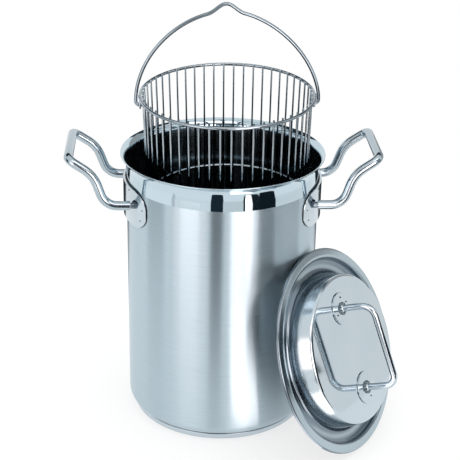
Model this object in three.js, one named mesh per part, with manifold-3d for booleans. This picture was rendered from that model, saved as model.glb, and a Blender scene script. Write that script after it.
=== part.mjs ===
// Tall stainless pot with a lifted wire basket and a lid leaning on its wall.
// Millimetres, +Z up, origin at the middle of the underside of the base.
import * as THREE from "three";
import { mergeVertices } from "three/addons/utils/BufferGeometryUtils.js";
import Module from "manifold-3d";

const wasm = await Module();
wasm.setup();

// Gaps
const weldGap = 0.3; // between two pieces that are welded or pressed together
const pivotPlay = 0.6; // between the bail pin and its eye

// Pot
const bodyRadius = 80;
const potWall = 0.8;
const potHeight = 232;
const flareReach = 4.7; // the rim beyond the wall
const flareHeight = 6;
const bottomCorner = 9;
const baseInset = 5; // the base inside the wall
const baseRadius = bodyRadius - baseInset;
const baseHeight = 5;
const baseCapSheet = 0.6;
const baseCapCorner = 1.6;

// Side handles
const handleRod = 7.6;
const handleFootDrop = 33.1; // below the rim
const handleFootHeight = potHeight - handleFootDrop;
const handleFootSpread = 35.7; // half the distance between the two feet
const handleGripSpread = 33.3; // half the length of the crossbar
const handleKneeReach = 16.7; // beyond the wall
const handleShoulderReach = 25.8;
const handleShoulderRise = 26; // above the feet
const handleGripReach = 45.5;
const handleGripRise = 39.2;
const handleKneeBend = 14;
const handleShoulderBend = 26;
const handleGripBend = 6.5;
const studLength = 2.4;
const studDiameter = 5;

// Side handle plates
const plateHalfWidth = 49.8;
const plateHeight = 31;
const plateCorner = 13;
const plateProud = 2.8; // at the middle of the plate, beyond the wall
const plateTightening = 5; // the outer face's radius below the wall's
const plateCurve = bodyRadius - plateTightening;
const plateDrop = 2.4; // the middle of the plate below the feet

// Basket
const basketRoom = 7.1; // round the basket, inside the wall
const ringWire = 2.6;
const basketRingRadius = bodyRadius - potWall - basketRoom - ringWire / 2;
const uprightWire = 1.6;
const uprightPairs = 25;
const uprightPoke = 1.8; // above the middle of the top ring
const footFlat = 0.2; // straight part of a foot, between its two bends
const basketDepth = 212; // from the middle of the top ring to the feet
const basketTaper = 5; // how much narrower the uprights are at their feet
const middleRingDrop = 94;
const bottomGridLift = 12; // above the feet
const gridWire = 2;
const gridBarWire = 1.8;
const gridBars = 8;
const basketLift = 51; // the top ring above the rim
const basketShiftX = 2.8;
const basketShiftY = -4.6;
const basketLean = 3.5; // degrees, towards -Y
const basketRoll = 0.6; // degrees, the right side up

// Basket bail
const bailWire = 2.6;
const eyeWire = 1.6;
const eyeStretch = 3; // the straight sides of the eye's link
const eyeDrop = 8.1; // the pivot below the middle of the top ring
const bailOverhang = 3.4; // beyond the middle of the top ring's wire
const bailHalfSpan = basketRingRadius + bailOverhang;
const bailArch = 78.2; // top of the arch above the pivot, without the hump
const bailFullness = 1.74; // 2 would be an ellipse, and less is more pointed
const humpHeight = 5.9;
const humpHalfWidth = 14.5;
const pinBend = 3.2;
const pinReach = 4; // how far the pin runs past the eye towards the axis

// Lid
const lidOverhang = 1.1; // the lip beyond the pot's rim
const lidRadius = bodyRadius + flareReach + lidOverhang;
const lidSheet = 0.8;
const lipDepth = 2;
const flangeDroop = 0.5;
const plugRoom = 1.6; // round the ring that drops into the mouth
const plugRadius = bodyRadius - potWall - plugRoom;
const plugDepth = 7.6;
const plugTaper = 0.8;
const troughWidth = 10.8;
const drumFootRadius = plugRadius - lidSheet - troughWidth;
const drumTaper = 4.2;
const drumTopRadius = drumFootRadius - drumTaper;
const drumHeight = 14.7; // above the flange
const lidBend = 2.2;
const lidLean = 22.2; // degrees from upright
const lidTurn = 34.5; // degrees from +X towards -Y
const rosetteDiameter = 27;
const rosetteThickness = 1.2;
const lidHandleRod = 5.6;
const lidHandleSpread = 35.5;
const lidHandleHeight = 30;
const lidHandleBend = 10;
const lidStudDiameter = 4;
const lidStudLength = 1.8;

// Facets
const turnSegments = 48;
const cutSegments = 96;
const gridSegments = 40;
const rosetteSegments = 28;
const eyeSegments = 14;
const studSegments = 12;
const plateCornerSteps = 6;
const bendSteps = 4;
const sheetBendSteps = 2;
const footBendSteps = 3;
const gripBendSteps = 5;
const flareSteps = 6;
const archSteps = 9;
const humpSteps = 6;
const rodSides = 10;
const bailSides = 8;
const wireSides = 6;
const uprightSides = 5;

const degrees = Math.PI / 180;

// Materials

function steel(color, roughness) {
  return new THREE.MeshStandardMaterial({ color, roughness, metalness: 1 });
}

const satinSteel = () => steel(0xb4c0c8, 0.34);
const mirrorSteel = () => steel(0xc8d2d8, 0.08);
const wireSteel = () => steel(0xa9b3ba, 0.18);
const castAluminium = () => steel(0xb9bcbe, 0.5);

// Shared shapes

// A line through the points, with each inner corner rounded by its radius.
function rounded(points, radii, steps = bendSteps) {
  const line = [points[0].clone()];
  for (let i = 1; i < points.length - 1; i++) {
    const back = points[i - 1].clone().sub(points[i]).normalize();
    const ahead = points[i + 1].clone().sub(points[i]).normalize();
    const half = back.angleTo(ahead) / 2;
    const reach = radii[i - 1] / Math.tan(half);
    const toCentre = back.clone().add(ahead).normalize();
    const centre = points[i].clone().addScaledVector(toCentre, radii[i - 1] / Math.sin(half));
    const from = points[i].clone().addScaledVector(back, reach).sub(centre);
    const to = points[i].clone().addScaledVector(ahead, reach).sub(centre);
    const sweep = from.angleTo(to);
    for (let k = 0; k <= steps; k++) {
      const near = Math.sin(sweep * (1 - k / steps)) / Math.sin(sweep);
      const far = Math.sin((sweep * k) / steps) / Math.sin(sweep);
      line.push(centre.clone().addScaledVector(from, near).addScaledVector(to, far));
    }
  }
  line.push(points.at(-1).clone());
  return line;
}

// A curve that an extrusion follows from one given point to the next.
class BentLine extends THREE.Curve {
  constructor(points) {
    super();
    this.points = points;
  }
  getPointAt(share, target = new THREE.Vector3()) {
    return target.copy(this.points[Math.round(share * (this.points.length - 1))]);
  }
  getTangentAt(share, target = new THREE.Vector3()) {
    const i = Math.round(share * (this.points.length - 1));
    const before = this.points[Math.max(i - 1, 0)];
    const after = this.points[Math.min(i + 1, this.points.length - 1)];
    return target.subVectors(after, before).normalize();
  }
}

// A round rod or wire along a line of points.
function rod(points, diameter, sides) {
  const section = new THREE.Shape();
  for (let i = 0; i < sides; i++) {
    const angle = ((i + 0.5) / sides) * 2 * Math.PI;
    const x = (diameter / 2) * Math.cos(angle);
    const y = (diameter / 2) * Math.sin(angle);
    if (i === 0) section.moveTo(x, y);
    else section.lineTo(x, y);
  }
  section.closePath();
  return new THREE.ExtrudeGeometry(section, {
    steps: points.length - 1,
    extrudePath: new BentLine(points),
    bevelEnabled: false,
  });
}

// The line moved sideways by a distance, to the right of its direction.
function beside(line, distance) {
  return line.map((point, i) => {
    const before = line[Math.max(i - 1, 0)];
    const after = line[Math.min(i + 1, line.length - 1)];
    const first = point.clone().sub(before);
    const second = after.clone().sub(point);
    if (i === 0) first.copy(second);
    if (i === line.length - 1) second.copy(first);
    const side = first.normalize().add(second.normalize()).normalize();
    const mitre = distance / side.dot(second);
    return new THREE.Vector3(point.x + side.y * mitre, point.y - side.x * mitre, 0);
  });
}

// A turned solid from a closed outline of radius and height.
function turned(outline, segments = turnSegments) {
  const profile = outline.map((p) => new THREE.Vector2(Math.max(p.x, 0), p.y));
  const shape = new THREE.LatheGeometry(profile, segments);
  return shape.rotateX(Math.PI / 2);
}

// A turned sheet: the line is its outer face, from the axis, with the sheet on its left.
function turnedSheet(line, thickness) {
  const inner = beside(line, -thickness).reverse();
  inner.at(-1).x = 0;
  return turned([...line, ...inner]);
}

function at(radius, height) {
  return new THREE.Vector3(radius, height, 0);
}

function cylinder(radius, height, segments) {
  return new THREE.CylinderGeometry(radius, radius, height, segments);
}

// Joins and cuts

function solid(geometry) {
  const bare = geometry.clone();
  bare.deleteAttribute("normal");
  bare.deleteAttribute("uv");
  const merged = mergeVertices(bare, 1e-4);
  const mesh = new wasm.Mesh({
    numProp: 3,
    vertProperties: merged.attributes.position.array,
    triVerts: new Uint32Array(merged.index.array),
  });
  return new wasm.Manifold(mesh);
}

function geometryOf(shape) {
  const mesh = shape.getMesh();
  const made = new THREE.BufferGeometry();
  made.setAttribute("position", new THREE.BufferAttribute(mesh.vertProperties, 3));
  made.setIndex(new THREE.BufferAttribute(mesh.triVerts, 1));
  return made;
}

function piece(group, name, geometry, material) {
  const mesh = new THREE.Mesh(geometry, material);
  mesh.name = name;
  group.add(mesh);
  return mesh;
}

// Pot body

function potShell() {
  const flareAngle = 2 * Math.atan(flareReach / flareHeight);
  const flareRadius = flareHeight / Math.sin(flareAngle);
  const line = rounded(
    [at(0, baseHeight), at(bodyRadius, baseHeight), at(bodyRadius, potHeight - flareHeight)],
    [bottomCorner],
  );
  for (let k = 1; k <= flareSteps; k++) {
    const angle = (flareAngle * k) / flareSteps;
    const radius = bodyRadius + flareRadius * (1 - Math.cos(angle));
    line.push(at(radius, potHeight - flareHeight + flareRadius * Math.sin(angle)));
  }
  return turnedSheet(line, potWall);
}

function baseCap() {
  const line = rounded(
    [at(0, 0), at(baseRadius, 0), at(baseRadius, baseHeight - weldGap)],
    [baseCapCorner],
    sheetBendSteps,
  );
  return turnedSheet(line, baseCapSheet);
}

function baseCore() {
  const radius = baseRadius - baseCapSheet - weldGap;
  const low = baseCapSheet + weldGap;
  const outline = rounded(
    [at(0, low), at(radius, low), at(radius, baseHeight - weldGap), at(0, baseHeight - weldGap)],
    [baseCapCorner, baseCapSheet],
    sheetBendSteps,
  );
  return turned(outline);
}

// Side handles

// Where the outer face of a plate lies, at a distance to the side.
function plateFace(side) {
  const centre = bodyRadius + plateProud - plateCurve;
  return centre + Math.sqrt(plateCurve ** 2 - side ** 2);
}

const handleFootReach = plateFace(handleFootSpread) + studLength + weldGap;

function sideHandle() {
  const shoulderShare = handleShoulderRise / handleGripRise;
  const shoulderSpread = THREE.MathUtils.lerp(handleFootSpread, handleGripSpread, shoulderShare);
  const half = [
    [handleFootReach, handleFootSpread, 0],
    [bodyRadius + handleKneeReach, handleFootSpread, 0],
    [bodyRadius + handleShoulderReach, shoulderSpread, handleShoulderRise],
    [bodyRadius + handleGripReach, handleGripSpread, handleGripRise],
  ];
  const front = half.map(([x, y, z]) => new THREE.Vector3(x, -y, handleFootHeight + z));
  const rear = half.map(([x, y, z]) => new THREE.Vector3(x, y, handleFootHeight + z));
  const bends = [handleKneeBend, handleShoulderBend, handleGripBend];
  const path = rounded([...front, ...rear.reverse()], [...bends, ...bends.toReversed()]);
  return rod(path, handleRod, rodSides);
}

// The plate keeps the part of a shallow curved slab that lies outside the wall.
function handlePlate() {
  const low = -plateHeight / 2;
  const corner = plateCorner;
  const outline = new THREE.Shape();
  outline.moveTo(-plateHalfWidth + corner, low);
  outline.lineTo(plateHalfWidth - corner, low);
  outline.absarc(plateHalfWidth - corner, low + corner, corner, -Math.PI / 2, 0);
  outline.lineTo(plateHalfWidth, -low - corner);
  outline.absarc(plateHalfWidth - corner, -low - corner, corner, 0, Math.PI / 2);
  outline.lineTo(-plateHalfWidth + corner, -low);
  outline.absarc(-plateHalfWidth + corner, -low - corner, corner, Math.PI / 2, Math.PI);
  outline.lineTo(-plateHalfWidth, low + corner);
  outline.absarc(-plateHalfWidth + corner, low + corner, corner, Math.PI, 1.5 * Math.PI);
  const depth = bodyRadius + plateProud;
  const curveSegments = plateCornerSteps;
  const block = new THREE.ExtrudeGeometry(outline, { depth, bevelEnabled: false, curveSegments });
  // The outline lies in Y and Z, and the block runs out along X.
  block.applyMatrix4(
    new THREE.Matrix4().makeBasis(
      new THREE.Vector3(0, 1, 0),
      new THREE.Vector3(0, 0, 1),
      new THREE.Vector3(1, 0, 0),
    ),
  );
  const tall = plateHeight * 2;
  const outer = cylinder(plateCurve, tall, cutSegments).rotateX(Math.PI / 2);
  outer.translate(bodyRadius + plateProud - plateCurve, 0, 0);
  const inner = cylinder(bodyRadius + weldGap, tall, cutSegments).rotateX(Math.PI / 2);
  return geometryOf(solid(block).intersect(solid(outer)).subtract(solid(inner)));
}

// A stud that starts inside the plate and is cut off at the plate's face.
function handleStud(side) {
  const length = studLength + plateProud;
  const stud = cylinder(studDiameter / 2, length, studSegments).rotateZ(Math.PI / 2);
  stud.translate(handleFootReach - weldGap - length / 2, side * handleFootSpread, 0);
  const plate = cylinder(plateCurve + weldGap, plateHeight, cutSegments).rotateX(Math.PI / 2);
  plate.translate(bodyRadius + plateProud - plateCurve, 0, 0);
  return geometryOf(solid(stud).subtract(solid(plate)));
}

function handleSet(name, turn) {
  const set = new THREE.Group();
  set.rotation.z = turn;
  piece(set, `${name}_handle`, sideHandle(), mirrorSteel());
  const plate = piece(set, `${name}_handle_plate`, handlePlate(), mirrorSteel());
  plate.position.z = handleFootHeight - plateDrop;
  for (const [end, side] of [["front", -1], ["rear", 1]]) {
    // The left set is turned half round, so its ends change places.
    const shape = handleStud(turn ? -side : side);
    const stud = piece(set, `${name}_handle_stud_${end}`, shape, mirrorSteel());
    stud.position.z = handleFootHeight;
  }
  return set;
}

function pot() {
  const group = new THREE.Group();
  piece(group, "pot_shell", potShell(), satinSteel());
  piece(group, "base_cap", baseCap(), mirrorSteel());
  piece(group, "base_core", baseCore(), castAluminium());
  group.add(handleSet("right", 0), handleSet("left", Math.PI));
  return group;
}

// Basket, around the middle of its top ring

const uprightRadius = basketRingRadius - ringWire / 2 - weldGap - uprightWire / 2;

// How far from the axis the uprights stand, at a depth below the top ring.
function uprightReach(drop) {
  return uprightRadius - (basketTaper * drop) / basketDepth;
}

function ring(radius, wire, around, sides) {
  return new THREE.TorusGeometry(radius, wire / 2, sides, around);
}

// One wire bent double: two neighbouring uprights and the foot between them.
function uprightPair(index) {
  const pitch = Math.PI / uprightPairs;
  const spot = (side, height) => {
    const reach = uprightReach(-height);
    const half = side * reach * Math.sin(pitch / 2);
    return new THREE.Vector3(reach * Math.cos(pitch / 2), half, height);
  };
  const foot = uprightWire / 2 - basketDepth;
  const corners = [spot(-1, uprightPoke), spot(-1, foot), spot(1, foot), spot(1, uprightPoke)];
  const bend = (corners[2].y - corners[1].y - footFlat) / 2;
  const shape = rod(rounded(corners, [bend, bend], footBendSteps), uprightWire, uprightSides);
  return shape.rotateZ((2 * index + 1) * pitch);
}

// The floor of the basket: a ring inside the uprights, with bars across it.
function bottomGrid() {
  const reach = uprightReach(basketDepth - bottomGridLift);
  const radius = reach - uprightWire / 2 - weldGap - gridWire / 2;
  let grid = solid(ring(radius, gridWire, gridSegments, wireSides));
  for (let i = 1; i <= gridBars; i++) {
    const x = radius * ((2 * i) / (gridBars + 1) - 1);
    const half = Math.sqrt(radius ** 2 - x ** 2);
    const ends = [new THREE.Vector3(x, -half, 0), new THREE.Vector3(x, half, 0)];
    grid = grid.add(solid(rod(ends, gridBarWire, wireSides)));
  }
  return geometryOf(grid);
}

const eyeHole = bailWire / 2 + pivotPlay;
const eyeRadius = eyeHole + eyeWire / 2;
// The eye hangs below the top ring, as far out as keeps the weld gap to the ring's wire.
const eyeWeld = ringWire / 2 + weldGap + eyeWire / 2;
const eyeTopDrop = eyeDrop - eyeRadius - eyeStretch;
const eyeReach = basketRingRadius + Math.sqrt(Math.max(eyeWeld ** 2 - eyeTopDrop ** 2, 0));

// A wire link: the bail pin turns in its lower bend, and its upper bend is welded under the top ring.
function eyeLink() {
  const link = ring(eyeRadius, eyeWire, eyeSegments, wireSides);
  const spots = link.getAttribute("position");
  for (let i = 0; i < spots.count; i++) {
    const down = spots.getX(i);
    if (down < 0) spots.setX(i, down - eyeStretch);
  }
  return link;
}

// Height of the bail above its pivot, at a distance from the middle.
function bailHeight(x) {
  const share = (x / bailHalfSpan) ** bailFullness;
  const arch = pinBend + (bailArch - pinBend) * (1 - share) ** (1 / bailFullness);
  const hump = x < humpHalfWidth ? (1 + Math.cos((Math.PI * x) / humpHalfWidth)) / 2 : 0;
  return arch + humpHeight * hump;
}

// The bail in its own plane, around the middle of the pivot.
function bail() {
  const inner = eyeReach - pinReach;
  const line = [new THREE.Vector3(inner, 0, 0)];
  const foot = bailHalfSpan - pinBend;
  for (let k = 0; k <= bendSteps; k++) {
    const angle = ((k / bendSteps) * Math.PI) / 2;
    const x = foot + pinBend * Math.sin(angle);
    line.push(new THREE.Vector3(x, 0, pinBend * (1 - Math.cos(angle))));
  }
  const humpAngle = Math.acos(humpHalfWidth / bailHalfSpan);
  for (let k = 1; k <= archSteps; k++) {
    const x = bailHalfSpan * Math.cos((humpAngle * k) / archSteps);
    line.push(new THREE.Vector3(x, 0, bailHeight(x)));
  }
  for (let k = 1; k <= humpSteps; k++) {
    const x = humpHalfWidth * (1 - k / humpSteps);
    line.push(new THREE.Vector3(x, 0, bailHeight(x)));
  }
  const mirrored = line.slice(0, -1).map((p) => new THREE.Vector3(-p.x, 0, p.z));
  return rod([...line, ...mirrored.reverse()], bailWire, bailSides);
}

function basket() {
  const group = new THREE.Group();
  group.position.set(basketShiftX, basketShiftY, potHeight + basketLift);
  group.rotation.x = basketLean * degrees;
  group.rotation.y = -basketRoll * degrees;
  const hoop = ring(basketRingRadius, ringWire, turnSegments, wireSides);
  piece(group, "basket_top_ring", hoop, wireSteel());
  const narrowing = uprightRadius - uprightReach(middleRingDrop);
  const lowerHoop = ring(basketRingRadius - narrowing, ringWire, turnSegments, wireSides);
  const middle = piece(group, "basket_middle_ring", lowerHoop, wireSteel());
  middle.position.z = -middleRingDrop;
  const grid = piece(group, "basket_bottom_grid", bottomGrid(), wireSteel());
  grid.position.z = bottomGridLift - basketDepth;
  for (let i = 0; i < uprightPairs; i++) {
    const name = `basket_wire_${String(i + 1).padStart(2, "0")}`;
    piece(group, name, uprightPair(i), wireSteel());
  }
  for (const [name, side] of [["right", 1], ["left", -1]]) {
    const eye = piece(group, `bail_eye_${name}`, eyeLink(), wireSteel());
    eye.rotation.y = Math.PI / 2;
    eye.position.set(side * eyeReach, 0, -eyeDrop);
  }
  const handle = piece(group, "basket_bail", bail(), wireSteel());
  handle.position.z = -eyeDrop;
  return group;
}

// Lid, around the middle of its flange, with its upper side towards local Z

function lidOutline() {
  const trough = lidSheet - plugDepth;
  const line = rounded(
    [
      at(0, drumHeight),
      at(drumTopRadius, drumHeight),
      at(drumFootRadius, trough),
      at(plugRadius - lidSheet, trough),
      at(plugRadius - lidSheet + plugTaper, 0),
      at(lidRadius, -flangeDroop),
      at(lidRadius, -flangeDroop - lipDepth),
    ],
    [lidBend, lidBend, lidBend, lidBend / 2, lidBend / 2],
    sheetBendSteps,
  );
  const under = beside(line, lidSheet);
  under[0].x = 0;
  return [...under, ...line.reverse()];
}

function lidHandle() {
  const foot = rosetteThickness + weldGap + lidStudLength + 2 * weldGap;
  const corners = [
    new THREE.Vector3(0, -lidHandleSpread, foot),
    new THREE.Vector3(0, -lidHandleSpread, lidHandleHeight),
    new THREE.Vector3(0, lidHandleSpread, lidHandleHeight),
    new THREE.Vector3(0, lidHandleSpread, foot),
  ];
  const path = rounded(corners, [lidHandleBend, lidHandleBend], gripBendSteps);
  return rod(path, lidHandleRod, rodSides);
}

function rosette() {
  const radius = rosetteDiameter / 2;
  const edge = rosetteThickness / 2;
  const outline = [at(0, 0), at(radius, 0), at(radius, edge)];
  outline.push(at(radius - edge, rosetteThickness), at(0, rosetteThickness));
  return turned(outline, rosetteSegments);
}

function lid() {
  const turn = -lidTurn * degrees;
  const rise = Math.sin(lidLean * degrees);
  const run = Math.cos(lidLean * degrees);
  // The lip stands on the floor and the ring under the flange leans on the wall.
  const outline = lidOutline();
  const height = Math.max(...outline.map((p) => p.x * run - p.y * rise));
  const reach = Math.max(...outline.map((p) => p.x * rise - p.y * run));
  const distance = bodyRadius + weldGap + reach;
  const group = new THREE.Group();
  const away = new THREE.Vector3(Math.cos(turn), Math.sin(turn), 0);
  const across = new THREE.Vector3(-Math.sin(turn), Math.cos(turn), 0);
  const outward = new THREE.Vector3(away.x * run, away.y * run, rise);
  const upward = outward.clone().cross(across);
  group.setRotationFromMatrix(new THREE.Matrix4().makeBasis(across, upward, outward));
  group.position.set(distance * away.x, distance * away.y, height);
  piece(group, "lid_shell", turned(outline), mirrorSteel());
  const grip = piece(group, "lid_handle", lidHandle(), mirrorSteel());
  grip.position.z = drumHeight;
  for (const [name, side] of [["upper", 1], ["lower", -1]]) {
    const plate = piece(group, `lid_rosette_${name}`, rosette(), mirrorSteel());
    plate.position.set(0, side * lidHandleSpread, drumHeight + weldGap);
    const stub = cylinder(lidStudDiameter / 2, lidStudLength, studSegments).rotateX(Math.PI / 2);
    const stud = piece(group, `lid_handle_stud_${name}`, stub, mirrorSteel());
    const seat = drumHeight + 2 * weldGap + rosetteThickness;
    stud.position.set(0, side * lidHandleSpread, seat + lidStudLength / 2);
  }
  return group;
}

const potWithInsert = new THREE.Group();
potWithInsert.add(pot(), basket(), lid());

export default potWithInsert;
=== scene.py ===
# %% [markdown]
# # A tall steel pot with a lift-out wire basket
#
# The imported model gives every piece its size, place and joint. This lesson puts smooth, finished steel
# around that frame: turned sheet for the pot and the lid, bent rod for the handles, and drawn wire for
# the basket. Steel has almost no colour of its own, so half of the work is the studio that it mirrors.

# %% Load the frame
import math

import bmesh
import bpy
from mathutils import Matrix, Quaternion, Vector


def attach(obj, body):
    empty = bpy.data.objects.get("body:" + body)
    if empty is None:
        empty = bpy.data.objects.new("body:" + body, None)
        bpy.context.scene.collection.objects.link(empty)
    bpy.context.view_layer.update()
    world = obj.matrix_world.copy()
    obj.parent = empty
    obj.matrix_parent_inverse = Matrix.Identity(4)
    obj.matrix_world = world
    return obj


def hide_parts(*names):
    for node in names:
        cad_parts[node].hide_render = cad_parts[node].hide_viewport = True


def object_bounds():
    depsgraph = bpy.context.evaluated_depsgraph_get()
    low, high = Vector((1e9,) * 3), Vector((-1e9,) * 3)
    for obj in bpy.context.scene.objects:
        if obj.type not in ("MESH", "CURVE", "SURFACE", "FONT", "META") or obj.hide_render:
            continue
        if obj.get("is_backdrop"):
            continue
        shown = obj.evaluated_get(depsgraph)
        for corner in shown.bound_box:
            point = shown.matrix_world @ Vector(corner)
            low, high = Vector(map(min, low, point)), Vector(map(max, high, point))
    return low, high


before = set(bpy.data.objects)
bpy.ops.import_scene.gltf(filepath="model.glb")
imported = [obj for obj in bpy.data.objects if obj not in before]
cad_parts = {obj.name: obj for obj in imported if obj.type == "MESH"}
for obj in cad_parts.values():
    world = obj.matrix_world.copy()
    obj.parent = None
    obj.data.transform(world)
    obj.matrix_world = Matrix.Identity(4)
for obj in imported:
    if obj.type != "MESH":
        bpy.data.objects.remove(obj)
cad_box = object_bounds()
scene = bpy.context.scene
scene.view_settings.view_transform = "Standard"
MM = 0.001

# %% [markdown]
# ## The camera
#
# The view is from a little above the rim with a long lens, so upright lines stay upright and the rim is a
# narrow ellipse. A small roll matches the slight tilt of the picture.

# %% Camera
CAMERA_PLACE = Vector((-0.04965, -1.00385, 0.60807))
CAMERA_AIM = Vector((0.00698, -0.00039, 0.16102))
CAMERA_ROLL = math.radians(0.98)
CAMERA_LENS = 101.16
CAMERA_SENSOR = 36.0

camera = bpy.data.objects.new("camera", bpy.data.cameras.new("camera"))
scene.collection.objects.link(camera)
camera.location = CAMERA_PLACE
camera.rotation_mode = "QUATERNION"
aim = (CAMERA_AIM - CAMERA_PLACE).to_track_quat("-Z", "Y")
camera.rotation_quaternion = aim @ Quaternion((0, 0, 1), CAMERA_ROLL)
camera.data.lens = CAMERA_LENS
camera.data.sensor_width = CAMERA_SENSOR
scene.camera = camera
print("camera:", round((CAMERA_AIM - CAMERA_PLACE).length, 3), "m from its aim")

# %% [markdown]
# ## Node trees as Python
#
# Both shaders and Geometry Nodes are graphs. A small class wraps a socket so that ordinary operators add
# the Math nodes, and one method adds any other node: its settings first, then its inputs.


# %% Node helpers
class Value:
    """A socket that Python's operators work on."""

    def __init__(self, nodes, socket):
        self.nodes = nodes
        self.socket = socket

    def math(self, operation, *values):
        inputs = dict(enumerate(values))
        return self.nodes.add("ShaderNodeMath", {"operation": operation}, inputs)

    def also(self, name):
        return Value(self.nodes, self.socket.node.outputs[name])

    def __add__(self, other):
        return self.math("ADD", self, other)

    def __radd__(self, other):
        return self.math("ADD", other, self)

    def __sub__(self, other):
        return self.math("SUBTRACT", self, other)

    def __rsub__(self, other):
        return self.math("SUBTRACT", other, self)

    def __mul__(self, other):
        return self.math("MULTIPLY", self, other)

    def __rmul__(self, other):
        return self.math("MULTIPLY", other, self)

    def ramp(self, low, high):
        """0 below low and 1 above high, with soft ends."""
        inputs = {"Value": self, "From Min": low, "From Max": high}
        return self.nodes.add("ShaderNodeMapRange", {"interpolation_type": "SMOOTHSTEP"}, inputs)


class Nodes:
    """A node tree that any node can be added to."""

    def __init__(self, tree):
        self.tree = tree

    def feed(self, socket, value):
        if isinstance(value, Value):
            self.tree.links.new(value.socket, socket)
        else:
            socket.default_value = value

    def add(self, kind, settings=None, inputs=None, output=0):
        made = self.tree.nodes.new(kind)
        for name, value in (settings or {}).items():
            setattr(made, name, value)
        for key, value in (inputs or {}).items():
            self.feed(made.inputs[key], value)
        return Value(self, made.outputs[output]) if len(made.outputs) else made

    def blend(self, share, first, second):
        """A colour between two colours. A Mix node's colours are its inputs 6 and 7 and its output 2."""
        inputs = {0: share, 6: first, 7: second}
        return self.add("ShaderNodeMix", {"data_type": "RGBA"}, inputs, output=2)

    def noise(self, scale, detail=2.0):
        """Noise over the object's own coordinates."""
        place = self.add("ShaderNodeTexCoord", output="Object")
        inputs = {"Vector": place, "Scale": scale, "Detail": detail}
        return self.add("ShaderNodeTexNoise", inputs=inputs)


def new_material(name):
    material = bpy.data.materials.new(name)
    material.use_nodes = True
    material.node_tree.nodes.clear()
    return material, Nodes(material.node_tree)


def surface(nodes, shader):
    nodes.add("ShaderNodeOutputMaterial", inputs={"Surface": shader})


# %% [markdown]
# ## The studio
#
# The floor is a white disc and the world is white. A matt floor alone would look grey at its edge, so it
# is mixed with a white glow, for the camera and in reflections alike. It then joins the background, and
# only the soft shadow is left.

# %% Floor and world
FLOOR_RADIUS = 0.50
FLOOR_STEPS = 96
FLOOR_WHITE = 0.93
FLOOR_GLOW = 0.72
FLOOR_SPECK, FLOOR_MOTTLE = 40.0, 0.02
FLOOR_SINK = -0.0002
WORLD_LEVEL = 1.0
WHITE = (1, 1, 1, 1)


def white_world():
    world = bpy.data.worlds.new("white studio")
    scene.world = world
    world.use_nodes = True
    world.node_tree.nodes.clear()
    nodes = Nodes(world.node_tree)
    shade = (WORLD_LEVEL, WORLD_LEVEL, WORLD_LEVEL, 1)
    light = nodes.add("ShaderNodeBackground", inputs={"Color": shade})
    nodes.add("ShaderNodeOutputWorld", inputs={"Surface": light})


def floor_white():
    """Matt white that shows as the white background, with a share of the object's shadow kept."""
    material, nodes = new_material("floor white")
    pale = (FLOOR_WHITE, FLOOR_WHITE, FLOOR_WHITE, 1)
    colour = nodes.blend(nodes.noise(FLOOR_SPECK) * FLOOR_MOTTLE, pale, WHITE)
    matt = nodes.add("ShaderNodeBsdfDiffuse", inputs={"Color": colour})
    glow = nodes.add("ShaderNodeEmission", inputs={"Color": WHITE, "Strength": 1.0})
    seen = nodes.add("ShaderNodeLightPath", output="Is Camera Ray")
    share = (seen + seen.also("Is Glossy Ray") + seen.also("Is Transmission Ray")) * FLOOR_GLOW
    surface(nodes, nodes.add("ShaderNodeMixShader", inputs={0: share, 1: matt, 2: glow}))
    return material


def link_mesh(name, vertices, faces, material=None):
    mesh = bpy.data.meshes.new(name)
    mesh.from_pydata([tuple(v) for v in vertices], [], faces)
    mesh.update()
    made = bpy.data.objects.new(name, mesh)
    scene.collection.objects.link(made)
    if material:
        mesh.materials.append(material)
    return made


def floor_disc():
    rim = [2 * math.pi * i / FLOOR_STEPS for i in range(FLOOR_STEPS)]
    points = [(FLOOR_RADIUS * math.cos(a), FLOOR_RADIUS * math.sin(a), 0) for a in rim]
    disc = link_mesh("floor", points, [list(range(FLOOR_STEPS))], floor_white())
    disc.data.transform(Matrix.Translation((0, 0, FLOOR_SINK)))
    disc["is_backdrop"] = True


white_world()
floor_disc()
print("floor:", 2 * FLOOR_RADIUS, "m across")

# %% [markdown]
# ## Panels that the steel mirrors
#
# Polished steel needs something to mirror. As in a product studio, tall white panels and black gaps stand
# round the set, and a few cards lie on the floor. An image of a studio would do the same, but glowing
# strips can be moved one by one. They show only in reflections, so no view is blocked. Later panels stand
# a little nearer and cover earlier ones.

# %% Panels
PANEL_STEP = math.radians(1)
CAMERA_SIDE = math.atan2(CAMERA_PLACE.y, CAMERA_PLACE.x)
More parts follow.
